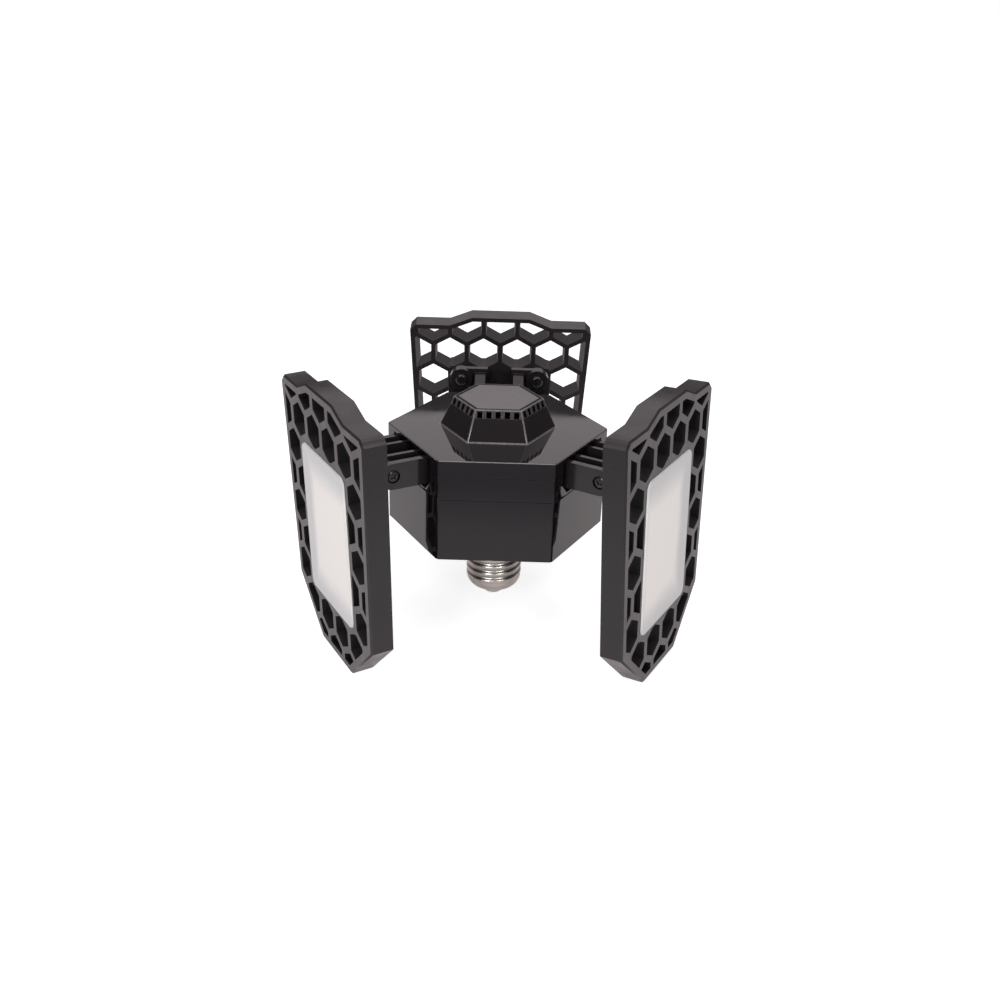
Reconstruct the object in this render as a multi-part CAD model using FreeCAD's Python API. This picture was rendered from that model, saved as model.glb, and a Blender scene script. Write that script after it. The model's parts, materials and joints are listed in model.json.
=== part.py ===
"""Deformable garage light: a hexagonal driver hub on an E26 screw cap, with three
honeycomb light panels that swing on friction hinges.

Frame: millimetres, +Z up, the lamp standing cap downwards as it does on a bench.
The origin is the end face of the cap's centre contact. Seen from the front (-Y),
the panels stand on the left-front, right-front and back faces of the hub.
"""
import FreeCAD, Part
import math
import os

V = FreeCAD.Vector

# ---------------------------------------------------------------- driving sizes
# Screw cap, E26: shell, glass insulator and centre contact.
cap_length = 27.0            # contact face to the top edge of the shell
thread_radius = 13.1         # over the thread crests
shell_wall = 0.5
shell_end_z = 3.6            # lower end of the shell, where it is drawn in to a bowl
shell_end_radius = 7.4       # mouth of that bowl, round the insulator
bowl_height = 7.2
bowl_steps = 3               # cones that make up the bowl
contact_radius = 4.6
contact_height = 1.8
contact_edge = 0.6           # rounding of the contact's edge
rivet_radius = 1.1
insulator_tip_radius = 5.2
insulator_flange = 1.0       # how far its flange reaches beyond the shell's mouth
insulator_seat = 2.4         # how far it reaches inside the shell
neck_length = 11.0           # from the shell's top edge to the hub's underside
neck_collar = 3.7            # straight part above the shell
neck_top_radius = 17.5
neck_bottom_radius = 14.4
spigot_length = 13.0         # plastic spigot inside the shell
spigot_gap = 0.1
neck_flange_radius = 21.0    # flange that holds the neck behind the hub's floor
neck_flange_thickness = 2.0
lead_bore_radius = 9.4

# Hub: hexagonal, flats to the front and back, corners on the X axis.
hub_side = 50.0              # also the radius over the corners
hub_height = 46.6
hub_wall = 2.4
cover_height = 7.4           # top cover's side wall, down to the upper seam
ring_height = 10.6           # hinge ring, between the two seams
seam = 0.35                  # width and depth of the shadow line at each seam
hub_edge = 0.8               # bevel of the hub's outer edges

# Ventilated dome on the top cover: a hexagonal frustum.
dome_base_radius = 26.3
dome_top_radius = 20.05
dome_height = 13.55
dome_wall = 2.3
dome_edge = 0.5
vent_cap_gap = 0.45          # groove round the cap plate
vent_cap_thickness = 1.6
vent_rim = 0.95              # width of the rim outside the groove
vents_per_side = 5
vent_width = 2.3
vent_height = 3.0
vent_pitch = 4.0
vent_drop = 0.5              # solid rim above the vents

# Hinge brackets, seated in a pocket on three faces of the hub.
pocket_top_drop = 2.0        # from the hub's top face to the pocket's upper edge
pocket_height = 15.0
pocket_half_width = 18.0
pocket_corner = 4.0
pocket_depth = 4.0
pocket_wall = 2.0
flange_thickness = 2.0
flange_gap = 0.25
arm_height = 12.0
outer_arm_thickness = 3.0
outer_arm_offset = 13.9      # middle of an outer arm from the bracket's centre line
inner_arm_thickness = 2.0
inner_arm_offset = 6.0
bracket_screw_radius = 1.25
bracket_head_radius = 2.2
bracket_head_height = 1.4

# Hinge axis, the same on each side.
pivot_radius = 58.8          # from the lamp's axis
pivot_drop = 8.2             # below the hub's top face
pivot_screw_radius = 1.5
pivot_head_radius = 2.7
pivot_head_height = 1.6
pivot_sink_gap = 0.3         # round the head, in its counterbore
running_clearance = 0.05
lug_boss_radius = 5.0

# Mounting plate with the two hinge lugs, on the back of each panel.
plate_half_width = 26.0
plate_top = 9.7              # above the hinge axis
plate_bottom = -12.0
plate_notch_half = 6.0       # opening between the two lugs, seen in the plate
plate_notch_bottom = -7.0
plate_thickness = 2.5
plate_corner = 5.0
lug_root = 8.0               # half height of a lug where it leaves the plate
plate_screw_offset = 19.3
plate_screw_rise = 4.4       # above the hinge axis
plate_boss_radius = 5.7
plate_boss_height = 1.7
plate_screw_radius = 1.5
plate_head_radius = 3.0
plate_head_height = 1.7
plate_screw_bite = 4.4
screw_end_gap = 0.3          # between a screw's end and the bottom of its hole

# Light panel, measured from the hinge axis: across, up and outwards.
panel_offset = 15.2          # hinge axis to the panel's back face
panel_thickness = 10.2
panel_top = 32.1             # shoulders above the hinge axis
panel_bottom = -90.0
shoulder_width = 90.8
shoulder_corner = 3.0
lower_width = 83.8
taper_length = 24.0
tip_width = 34.2
bump_base_width = 51.0
bump_top_width = 28.9
bump_height = 4.5
panel_bevel = 0.8

# Honeycomb of the panel.
cell_pitch = 16.9            # centre to centre in a row
cell_row_pitch = 14.9        # row to row
cell_row_shift = 2.0         # height of a centred row above the hinge axis
cell_rows_above = 2
cell_rows_below = 7
cells_each_side = 3
rib_front = 3.2
rib_back = 2.2
rim_front = 3.7
rim_back = 2.1
smallest_opening = 9.0       # area of the smallest opening that is cut

# Light engine in the panel.
lens_width = 47.6
lens_height = 71.9
lens_top = 8.0               # above the hinge axis
lens_corner = 4.0
lens_frame = 1.5             # frame left round the lens
lens_gap = 0.15
lens_proud = 0.6
lens_wall = 1.4
lens_skirt = 1.2
lens_bevel = 0.5
web_thickness = 1.6          # plate behind the light engine
web_depth = 3.6              # from the panel's back face to that plate
led_board_thickness = 1.2
led_columns = 4
led_rows = 6
led_width = 2.8
led_length = 3.5
led_height = 0.7
led_margin = 7.0
post_radius = 4.4            # post that takes a plate screw

# Driver inside the hub.
housing_screw_radius = 1.5
housing_screw_head = 2.8
housing_head_height = 2.0
housing_sink_gap = 0.2       # round and below the head, in its counterbore
housing_boss_radius = 3.8
housing_boss_circle = 41.5
cover_thread_depth = 5.0     # how deep a housing screw reaches into the top cover
board_radius = 36.0           # hexagonal board, over its corners
board_thickness = 1.6
board_height = 12.0          # above the housing's floor
board_post_radius = 3.0
board_post_circle = 27.0
board_screw_radius = 1.2
board_screw_head = 2.2
board_screw_rise = 1.4
board_screw_bite = 6.0
lead_radius = 0.8
shell_lead_offset = 7.0
shell_lead_gap = 0.4         # below the spigot
head_taper = 0.8             # top of a screw head, as a share of its foot
transformer_core = V(17.0, 12.0, 14.0)
transformer_winding_radius = 7.5
capacitor_radius = 5.0
capacitor_height = 18.0
capacitor_place = V(6.5, 17.5, 0)
choke_radius = 6.0
choke_height = 9.0
choke_flange = 1.8
choke_waist = 5.1
choke_place = V(-17.0, -4.0, 0)
rectifier_size = V(9.0, 3.2, 8.0)
rectifier_place = V(17.5, -4.4, 0)
transistor_size = V(10.0, 4.0, 11.0)
transistor_place = V(0, -10.0, 0)
heat_sink_size = V(16.0, 1.6, 15.0)
heat_sink_fins = 4
heat_sink_fin_reach = 5.0
socket_size = V(6.0, 5.0, 6.0)
socket_circle = 27.0         # middle of a socket from the lamp's axis

# Rest angles of the three panels: the lower end outwards is positive.
SIDES = {
    "left": {"face_angle": 210.0, "tilt": -1.9},
    "right": {"face_angle": 330.0, "tilt": 2.5},
    "back": {"face_angle": 90.0, "tilt": 9.1},
}

# --------------------------------------------------------------- derived places
hub_bottom_z = cap_length + neck_length
hub_top_z = hub_bottom_z + hub_height
cover_seam_z = hub_top_z - cover_height
ring_seam_z = cover_seam_z - ring_height
floor_z = hub_bottom_z + hub_wall
hub_apothem = hub_side * math.cos(math.pi / 6)
pivot_z = hub_top_z - pivot_drop
pocket_top_z = hub_top_z - pocket_top_drop
pocket_floor_radius = hub_apothem - pocket_depth
arm_gap_inner = inner_arm_offset + inner_arm_thickness / 2
arm_gap_outer = outer_arm_offset - outer_arm_thickness / 2
lug_inner = arm_gap_inner + running_clearance
lug_outer = arm_gap_outer - running_clearance
spigot_end_z = cap_length - spigot_length
insulator_top_z = shell_end_z + shell_wall + insulator_seat
board_z = floor_z + board_height
board_top_z = board_z + board_thickness
overshoot = 1.0              # how far a cutting shape runs past the face it cuts
tiny = 0.01


# ------------------------------------------------------------------ basic forms
def polygon_face(points):
    """Flat face bounded by straight lines through the points."""
    return Part.Face(Part.makePolygon(points + [points[0]]))


def hexagon(radius, z):
    """Hexagonal wire with its corners on the X axis and every 60 degrees."""
    corners = [V(radius * math.cos(k * math.pi / 3), radius * math.sin(k * math.pi / 3), z) for k in range(6)]
    return Part.makePolygon(corners + [corners[0]])


def hex_prism(radius, z_low, z_high):
    return Part.Face(hexagon(radius, z_low)).extrude(V(0, 0, z_high - z_low))


def hex_frustum(radius_low, radius_high, z_low, z_high):
    return Part.makeLoft([hexagon(radius_low, z_low), hexagon(radius_high, z_high)], True, True)


def rod(radius, start, end):
    """Round bar between two points."""
    axis = end.sub(start)
    return Part.makeCylinder(radius, axis.Length, start, axis)


def block(low, high):
    """Box between its lowest and highest corners."""
    size = high.sub(low)
    return Part.makeBox(size.x, size.y, size.z, low)


def revolved(profile):
    """Solid of revolution about Z from (radius, height) points."""
    face = polygon_face([V(radius, 0, height) for radius, height in profile])
    return face.revolve(V(0, 0, 0), V(0, 0, 1), 360)


def joined(shapes):
    """One body from shapes that touch or overlap."""
    body = shapes[0]
    if len(shapes) > 1:
        body = body.fuse(shapes[1:])
    return body.removeSplitter()


def edges_along(shape, direction):
    """Straight edges that run along a direction."""
    return [edge for edge in shape.Edges if abs(edge.tangentAt(edge.FirstParameter).dot(direction)) > 1 - tiny]


def edges_where(shape, test):
    """Edges whose two ends both pass the test."""
    return [edge for edge in shape.Edges if all(test(vertex.Point) for vertex in edge.Vertexes)]


def screw(head_radius, head_height, shaft_radius, shaft_length, seat, direction):
    """Screw whose head rests at seat and whose shaft runs along direction."""
    body = revolved([
        (0, -head_height),
        (head_radius * head_taper, -head_height),
        (head_radius, 0),
        (shaft_radius, 0),
        (shaft_radius, shaft_length),
        (0, shaft_length),
    ])
    body.Placement = FreeCAD.Placement(seat, FreeCAD.Rotation(V(0, 0, 1), direction))
    return body


def hex_post(radius, place, z_low, z_high):
    """Six-sided post or boss that stands at a place."""
    post = hex_prism(radius, z_low, z_high)
    post.translate(V(place.x, place.y, 0))
    return post


# -------------------------------------------------------------------- screw cap
def bowl_curve(inward):
    """Points from the bowl's mouth to the shell's full width, moved inwards by a distance."""
    points = []
    for k in range(bowl_steps + 1):
        turn = math.pi / 2 * k / bowl_steps
        radius = shell_end_radius + (thread_radius - shell_end_radius) * math.sin(turn)
        height = shell_end_z + bowl_height * (1 - math.cos(turn))
        points.append((radius - inward * math.sin(turn), height + inward * math.cos(turn)))
    return points


def screw_shell():
    """Metal shell, drawn in to a bowl at its end; the thread's crests are its radius."""
    outside = bowl_curve(0) + [(thread_radius, cap_length)]
    inside = bowl_curve(shell_wall) + [(thread_radius - shell_wall, cap_length)]
    return revolved(outside + inside[::-1])


def cap_insulator():
    """Cone between the shell's mouth and the centre contact; its flange seats in the bowl."""
    neck = shell_end_radius - running_clearance
    flange = shell_end_radius + insulator_flange
    mouth, seat = bowl_curve(shell_wall)[:2]
    slope = (seat[1] - mouth[1]) / (seat[0] - mouth[0])
    bore = rivet_radius + running_clearance
    return revolved([
        (insulator_tip_radius, contact_height),
        (neck, shell_end_z),
        (neck, mouth[1]),
        (flange, mouth[1] + slope * insulator_flange),
        (flange, insulator_top_z),
        (bore, insulator_top_z),
        (bore, contact_height),
    ])


def centre_contact():
    """Round contact with the rivet that carries it through the insulator."""
    disc = revolved([
        (0, 0),
        (contact_radius - contact_edge, 0),
        (contact_radius, contact_edge),
        (contact_radius, contact_height),
        (0, contact_height),
    ])
    rivet = rod(rivet_radius, V(0, 0, contact_height), V(0, 0, insulator_top_z))
    return joined([disc, rivet])


def contact_lead():
    """Stiff lead from the rivet up the neck to the driver board."""
    return rod(lead_radius, V(0, 0, insulator_top_z), V(0, 0, board_z))


def shell_lead():
    """Lead from the board down the neck and out below the spigot to the shell."""
    run_z = spigot_end_z - lead_radius - shell_lead_gap
    corner = V(shell_lead_offset, 0, run_z)
    down = rod(lead_radius, V(shell_lead_offset, 0, board_z), corner)
    out = rod(lead_radius, corner, V(thread_radius - shell_wall / 2, 0, run_z))
    knee = Part.makeSphere(lead_radius, corner)
    return joined([down, out, knee]).cut(screw_shell())


# ------------------------------------------------------------------ hub housing
def hub_shell_block(z_low, z_high, groove_on_top):
    """Outer hexagonal block with bevelled corners and a shadow line at its top."""
    top = z_high - seam if groove_on_top else z_high
    body = hex_prism(hub_side, z_low, top)
    body = body.makeChamfer(hub_edge, edges_along(body, V(0, 0, 1)))
    if groove_on_top:
        lip = hex_prism(hub_side - seam / math.cos(math.pi / 6), top, z_high)
        body = body.fuse(lip)
    return body


def pocket_outline(radius, grow):
    """Face of a hinge pocket in the plane x = radius, seen from outside.

    grow widens it all round; the lower corners are cut off at 45 degrees.
    """
    half = pocket_half_width + grow
    top = pocket_top_z + grow
    bottom = pocket_top_z - pocket_height - grow
    corner = pocket_corner
    points = [(-half, top), (half, top), (half, bottom + corner), (half - corner, bottom)]
    points += [(-half + corner, bottom), (-half, bottom + corner)]
    return polygon_face([V(radius, across, height) for across, height in points])


def on_each_face(shape):
    """Copies of a shape on the three hinge faces."""
    copies = []
    for side in SIDES.values():
        copy = shape.copy()
        copy.rotate(V(0, 0, 0), V(0, 0, 1), side["face_angle"])
        copies.append(copy)
    return copies


def housing_screw_places():
    """Three corners of the hub that hold the housing screws."""
    places = []
    for k in range(3):
        angle = math.radians(120 * k)
        places.append(V(housing_boss_circle * math.cos(angle), housing_boss_circle * math.sin(angle), 0))
    return places


def bracket_screw_places():
    """The two screws of a bracket, each between an outer and an inner arm."""
    return [V(0, sign * (arm_gap_inner + arm_gap_outer) / 2, pivot_z) for sign in (-1, 1)]


def with_pockets(body, z_low, z_high):
    """Adds the pocket walls inside a shell and sinks the three pockets into it."""
    slab = block(V(0, -hub_side, z_low), V(hub_side, hub_side, z_high))
    wall = pocket_outline(pocket_floor_radius - pocket_wall, pocket_wall).extrude(V(pocket_depth, 0, 0))
    wall = wall.common(slab)
    pocket = pocket_outline(pocket_floor_radius, 0).extrude(V(pocket_depth + overshoot, 0, 0))
    body = body.fuse(on_each_face(wall))
    body = body.cut(on_each_face(pocket))
    holes = []
    for place in bracket_screw_places():
        start = V(pocket_floor_radius - pocket_wall - overshoot, place.y, place.z)
        end = V(pocket_floor_radius + overshoot, place.y, place.z)
        holes += on_each_face(rod(bracket_screw_radius, start, end))
    return body.cut(holes)


def cap_neck():
    """Tapered neck between the hub and the cap, with a flange inside the hub's floor."""
    spigot_radius = thread_radius - shell_wall - spigot_gap
    flange_top_z = floor_z + neck_flange_thickness
    return revolved([
        (lead_bore_radius, spigot_end_z),
        (spigot_radius, spigot_end_z),
        (spigot_radius, cap_length),
        (neck_bottom_radius, cap_length),
        (neck_bottom_radius, cap_length + neck_collar),
        (neck_top_radius, hub_bottom_z),
        (neck_top_radius, floor_z),
        (neck_flange_radius, floor_z),
        (neck_flange_radius, flange_top_z),
        (lead_bore_radius, flange_top_z),
    ])


def lower_housing():
    """Hexagonal cup, open at the top, with a round hole in its floor for the neck."""
    outer = hub_shell_block(hub_bottom_z, ring_seam_z, True)
    cavity = hex_prism(hub_side - hub_wall / math.cos(math.pi / 6), floor_z, ring_seam_z + overshoot)
    body = outer.cut(cavity)
    additions = []
    removals = [rod(neck_top_radius + running_clearance, V(0, 0, 0), V(0, 0, floor_z + overshoot))]
    for place in housing_screw_places():
        additions.append(hex_post(housing_boss_radius, place, hub_bottom_z, ring_seam_z).common(outer))
        clear = housing_screw_radius + running_clearance
        removals.append(rod(clear, V(place.x, place.y, 0), V(place.x, place.y, hub_top_z)))
        sink = housing_screw_head + housing_sink_gap
        sink_top = hub_bottom_z + housing_head_height + housing_sink_gap
        removals.append(rod(sink, V(place.x, place.y, 0), V(place.x, place.y, sink_top)))
    for place in board_post_places():
        additions.append(hex_post(board_post_radius, place, floor_z, board_z))
        start = V(place.x, place.y, board_z - board_screw_bite)
        removals.append(rod(board_screw_radius, start, V(place.x, place.y, board_z + overshoot)))
    return body.fuse(additions).cut(removals).removeSplitter()


def hinge_ring():
    """Middle ring of the hub; its three pockets take the lower part of the brackets."""
    outer = hub_shell_block(ring_seam_z, cover_seam_z, True)
    inner = hub_side - hub_wall / math.cos(math.pi / 6)
    body = outer.cut(hex_prism(inner, ring_seam_z - overshoot, cover_seam_z + overshoot))
    bosses = []
    holes = []
    for place in housing_screw_places():
        bosses.append(hex_post(housing_boss_radius, place, ring_seam_z, cover_seam_z).common(outer))
        clear = housing_screw_radius + running_clearance
        holes.append(rod(clear, V(place.x, place.y, 0), V(place.x, place.y, hub_top_z)))
    body = body.fuse(bosses)
    body = with_pockets(body, ring_seam_z, cover_seam_z)
    return body.cut(holes).removeSplitter()


def dome_outer():
    body = hex_frustum(dome_base_radius, dome_top_radius, hub_top_z, hub_top_z + dome_height)
    sloping = [edge for edge in body.Edges if abs(edge.Vertexes[0].Z - edge.Vertexes[1].Z) > dome_height / 2]
    return body.makeChamfer(dome_edge, sloping)


def vent_slots():
    """Square vents through the dome's wall, just under its rim."""
    top = hub_top_z + dome_height - vent_drop
    apothem = dome_top_radius * math.cos(math.pi / 6)
    slots = []
    for face in range(6):
        for k in range(vents_per_side):
            across = (k - (vents_per_side - 1) / 2) * vent_pitch
            low = V(apothem - 2 * dome_wall, across - vent_width / 2, top - vent_height)
            high = V(apothem + 2 * dome_wall, across + vent_width / 2, top)
            slot = block(low, high)
            slot.rotate(V(0, 0, 0), V(0, 0, 1), 30 + 60 * face)
            slots.append(slot)
    return slots


def top_cover():
    """Flat hexagonal cover with the hollow, vented dome in its middle."""
    outer = hub_shell_block(cover_seam_z, hub_top_z, False)
    upper = edges_where(outer, lambda point: point.z > hub_top_z - tiny)
    outer = outer.makeChamfer(hub_edge / 2, upper)
    inner = hub_side - hub_wall / math.cos(math.pi / 6)
    body = outer.cut(hex_prism(inner, cover_seam_z - overshoot, hub_top_z - hub_wall))
    bosses = []
    holes = []
    for place in housing_screw_places():
        bosses.append(hex_post(housing_boss_radius, place, cover_seam_z, hub_top_z - hub_wall).common(outer))
        start = V(place.x, place.y, cover_seam_z - overshoot)
        holes.append(rod(housing_screw_radius, start, V(place.x, place.y, cover_seam_z + cover_thread_depth)))
    body = body.fuse(bosses)
    body = with_pockets(body, cover_seam_z, hub_top_z - hub_wall / 2)
    dome_top_z = hub_top_z + dome_height
    slope = (dome_base_radius - dome_top_radius) / dome_height
    inside_low_z = hub_top_z - hub_wall - overshoot
    inside_low = dome_base_radius - dome_wall + slope * (hub_top_z - inside_low_z)
    inside_high = dome_top_radius - dome_wall - slope * overshoot
    inside = hex_frustum(inside_low, inside_high, inside_low_z, dome_top_z + overshoot)
    seat = hex_prism(dome_top_radius - vent_rim, dome_top_z - vent_cap_thickness, dome_top_z + overshoot)
    body = body.fuse(dome_outer())
    return body.cut(holes + [inside, seat] + vent_slots()).removeSplitter()


def vent_cap():
    """Flat plate that closes the dome, inside a narrow groove."""
    top = hub_top_z + dome_height
    radius = dome_top_radius - vent_rim - vent_cap_gap
    return hex_prism(radius, top - vent_cap_thickness, top)


# -------------------------------------------------------------------- fasteners
def housing_screws():
    """Three long screws, driven from below through the housing into the cover."""
    screws = []
    seat_z = hub_bottom_z + housing_head_height + housing_sink_gap
    length = cover_seam_z + cover_thread_depth - seat_z
    for place in housing_screw_places():
        seat = V(place.x, place.y, seat_z)
        screws.append(screw(
            housing_screw_head, housing_head_height, housing_screw_radius, length, seat, V(0, 0, 1)))
    return Part.makeCompound(screws)


def bracket_screws():
    """Two screws a bracket, through the flange into the pocket's back wall."""
    length = flange_thickness + pocket_wall
    screws = []
    for place in bracket_screw_places():
        seat = V(pocket_floor_radius + flange_thickness, place.y, place.z)
        screws.append(screw(
            bracket_head_radius, bracket_head_height, bracket_screw_radius, length, seat, V(-1, 0, 0)))
    return Part.makeCompound(on_each_face(Part.makeCompound(screws)))


def pivot_screws():
    """Two pivot screws a hinge: head sunk in the outer arm, end in the inner arm."""
    head_seat = outer_arm_offset + outer_arm_thickness / 2 - pivot_head_height
    length = head_seat - (inner_arm_offset - inner_arm_thickness / 2)
    screws = []
    for sign in (-1, 1):
        seat = V(pivot_radius, sign * head_seat, pivot_z)
        screws.append(screw(
            pivot_head_radius, pivot_head_height, pivot_screw_radius, length, seat, V(0, -sign, 0)))
    return Part.makeCompound(on_each_face(Part.makeCompound(screws)))


# --------------------------------------------------------------- hinge brackets
def bracket_arm(middle, thickness):
    """Flat arm with a round end about the hinge axis, wide enough for the screw."""
    half = arm_height / 2
    root = pocket_floor_radius + flange_thickness
    low = V(root, middle - thickness / 2, pivot_z - half)
    straight = block(low, V(pivot_radius, middle + thickness / 2, pivot_z + half))
    start = V(pivot_radius, middle - thickness / 2, pivot_z)
    end = V(pivot_radius, middle + thickness / 2, pivot_z)
    return straight.fuse(rod(half, start, end))


def hinge_bracket(side):
    """Cast bracket: a flange in the hub's pocket and four arms that hold the lugs."""
    flange = pocket_outline(pocket_floor_radius, -flange_gap).extrude(V(flange_thickness, 0, 0))
    parts = [flange]
    holes = []
    clear = pivot_screw_radius + running_clearance
    for sign in (-1, 1):
        parts.append(bracket_arm(sign * outer_arm_offset, outer_arm_thickness))
        parts.append(bracket_arm(sign * inner_arm_offset, inner_arm_thickness))
        face = outer_arm_offset + outer_arm_thickness / 2
        outside = V(pivot_radius, sign * (face + overshoot), pivot_z)
        holes.append(rod(clear, V(pivot_radius, 0, pivot_z), outside))
        sink = V(pivot_radius, sign * (face - pivot_head_height), pivot_z)
        holes.append(rod(pivot_head_radius + pivot_sink_gap, sink, outside))
    for place in bracket_screw_places():
        start = V(pocket_floor_radius - overshoot, place.y, place.z)
        end = V(pocket_floor_radius + flange_thickness + overshoot, place.y, place.z)
        holes.append(rod(bracket_screw_radius + running_clearance, start, end))
    body = joined(parts).cut(holes)
    body.rotate(V(0, 0, 0), V(0, 0, 1), side["face_angle"])
    return body


# ------------------------------------------------------- panel: places and forms
# A panel is drawn about its own hinge axis: x outwards, y across, z up.
def on_hinge(shape, side):
    """Swings a panel piece to its rest angle and moves it to its hinge."""
    shape.rotate(V(0, 0, 0), V(0, -1, 0), side["tilt"])
    shape.translate(V(pivot_radius, 0, pivot_z))
    shape.rotate(V(0, 0, 0), V(0, 0, 1), side["face_angle"])
    return shape


def panel_outline(corner):
    """Corners of the panel's outline as (across, up), counter-clockwise."""
    right = [
        (tip_width / 2, panel_bottom),
        (lower_width / 2, panel_bottom + taper_length),
    ]
    if corner > 0:
        right.append((shoulder_width / 2, panel_top - corner))
        right.append((shoulder_width / 2 - corner, panel_top))
    else:
        right.append((shoulder_width / 2, panel_top))
    right.append((bump_base_width / 2, panel_top))
    right.append((bump_top_width / 2, panel_top + bump_height))
    left = [(-across, up) for across, up in reversed(right)]
    return right + left


def inset(points, distance):
    """Corners of a counter-clockwise polygon moved inwards by a distance."""
    moved = []
    count = len(points)
    for k in range(count):
        before = V(*points[k - 1], 0)
        here = V(*points[k], 0)
        after = V(*points[(k + 1) % count], 0)
        first = here.sub(before).normalize()
        second = after.sub(here).normalize()
        normal_1 = V(-first.y, first.x, 0)
        normal_2 = V(-second.y, second.x, 0)
        mitre = normal_1.add(normal_2).multiply(distance / (1 + normal_1.dot(normal_2)))
        moved.append((here.x + mitre.x, here.y + mitre.y))
    return moved


def outline_wire(points, depth):
    """Closed outline at a distance outwards from the panel's back face."""
    corners = [V(panel_offset + depth, across, up) for across, up in points]
    return Part.makePolygon(corners + [corners[0]])


def between(back, front, depth):
    """Value at a depth of the panel, from its values at the back and the front."""
    return back + (front - back) * depth / panel_thickness


def cell_corners(rib):
    """Six corners of one honeycomb opening about its centre, with ribs of a width."""
    across = cell_pitch / 2
    length = math.hypot(across, cell_row_pitch)
    slope = V(across / length, cell_row_pitch / length, 0)
    reach = length / 2 - rib / 2
    side = across - rib / 2
    tip = reach / slope.y
    shoulder = (reach - slope.x * side) / slope.y
    return [(side, -shoulder), (side, shoulder), (0, tip), (-side, shoulder), (-side, -shoulder), (0, -tip)]


def honeycomb():
    """Openings of the whole lattice, narrowing from the back to the front."""
    depths = [-overshoot, panel_thickness + overshoot]
    cells = []
    for row in range(-cell_rows_below, cell_rows_above + 1):
        shift = cell_pitch / 2 if row % 2 else 0
        for column in range(-cells_each_side - 1, cells_each_side + 1):
            centre_across = column * cell_pitch + shift
            centre_up = cell_row_shift + row * cell_row_pitch
            wires = []
            for depth in depths:
                corners = cell_corners(between(rib_back, rib_front, depth))
                placed = [(centre_across + across, centre_up + up) for across, up in corners]
                wires.append(outline_wire(placed, depth))
            cells.append(Part.makeLoft(wires, True, True))
    return Part.makeCompound(cells)


def lens_block(margin, depth_low, depth_high, corner):
    """Upright block on the lens's outline, a margin larger all round."""
    low = V(panel_offset + depth_low, -lens_width / 2 - margin, lens_top - lens_height - margin)
    high = V(panel_offset + depth_high, lens_width / 2 + margin, lens_top + margin)
    body = block(low, high)
    if corner > 0:
        body = body.makeFillet(corner, edges_along(body, V(1, 0, 0)))
    return body


def large_enough(shape, depth):
    """Keeps the pieces of a cut whose opening is worth making."""
    return [solid for solid in shape.Solids if solid.Volume > smallest_opening * depth]


def plate_screw_places():
    return [V(panel_offset, sign * plate_screw_offset, plate_screw_rise) for sign in (-1, 1)]


def panel_frame(side):
    """Cast honeycomb frame: open cells round the light engine, blind ones behind it."""
    outline = panel_outline(shoulder_corner)
    body = Part.Face(outline_wire(outline, 0)).extrude(V(panel_thickness, 0, 0))
    front_x = panel_offset + panel_thickness
    front_edges = edges_where(body, lambda point: point.x > front_x - tiny)
    body = body.makeChamfer(panel_bevel, front_edges)

    cells = honeycomb()
    plain = panel_outline(0)
    wires = []
    for depth in (-overshoot, panel_thickness + overshoot):
        wires.append(outline_wire(inset(plain, between(rim_back, rim_front, depth)), depth))
    border = Part.makeLoft(wires, True, True)
    border = border.cut(lens_block(lens_frame, -2 * overshoot, panel_thickness + 2 * overshoot, 0))
    through = large_enough(border.common(cells), panel_thickness)

    posts = []
    for place in plate_screw_places():
        end = V(place.x + web_depth + overshoot, place.y, place.z)
        posts.append(rod(post_radius, V(place.x - 2 * overshoot, place.y, place.z), end))
    blind_region = lens_block(lens_frame - rib_back, -overshoot, web_depth, 0).cut(posts)
    blind = large_enough(blind_region.common(cells), web_depth)

    web_face = web_depth + web_thickness
    pocket = lens_block(lens_gap, web_face, panel_thickness + overshoot, lens_corner)
    holes = []
    for place in plate_screw_places():
        end = V(place.x + plate_screw_bite, place.y, place.z)
        holes.append(rod(plate_screw_radius, V(place.x - overshoot, place.y, place.z), end))
    body = body.cut(through + blind + [pocket] + holes)
    return on_hinge(body.removeSplitter(), side)


def led_board(side):
    """Aluminium board that carries the LEDs, bonded to the web behind the lens."""
    low = web_depth + web_thickness
    return on_hinge(lens_block(-lens_gap, low, low + led_board_thickness, lens_corner), side)


def led_chips(side):
    """Rectangular array of LEDs on the board."""
    face = panel_offset + web_depth + web_thickness + led_board_thickness
    step_across = (lens_width - 2 * led_margin) / (led_columns - 1)
    step_up = (lens_height - 2 * led_margin) / (led_rows - 1)
    chips = []
    for column in range(led_columns):
        for row in range(led_rows):
            across = -lens_width / 2 + led_margin + column * step_across
            up = lens_top - led_margin - row * step_up
            low = V(face, across - led_width / 2, up - led_length / 2)
            chips.append(block(low, V(face + led_height, across + led_width / 2, up + led_length / 2)))
    return on_hinge(Part.makeCompound(chips), side)


def diffuser(side):
    """Opal cover: a shallow tray with a skirt that stands on the LED board."""
    seat = web_depth + web_thickness + led_board_thickness
    front = panel_thickness + lens_proud
    body = lens_block(0, seat, front, lens_corner)
    front_edges = edges_where(body, lambda point: point.x > panel_offset + front - tiny)
    body = body.makeChamfer(lens_bevel, front_edges)
    hollow = lens_block(-lens_skirt, seat - overshoot, front - lens_wall, lens_corner - lens_skirt)
    return on_hinge(body.cut(hollow), side)


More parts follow.
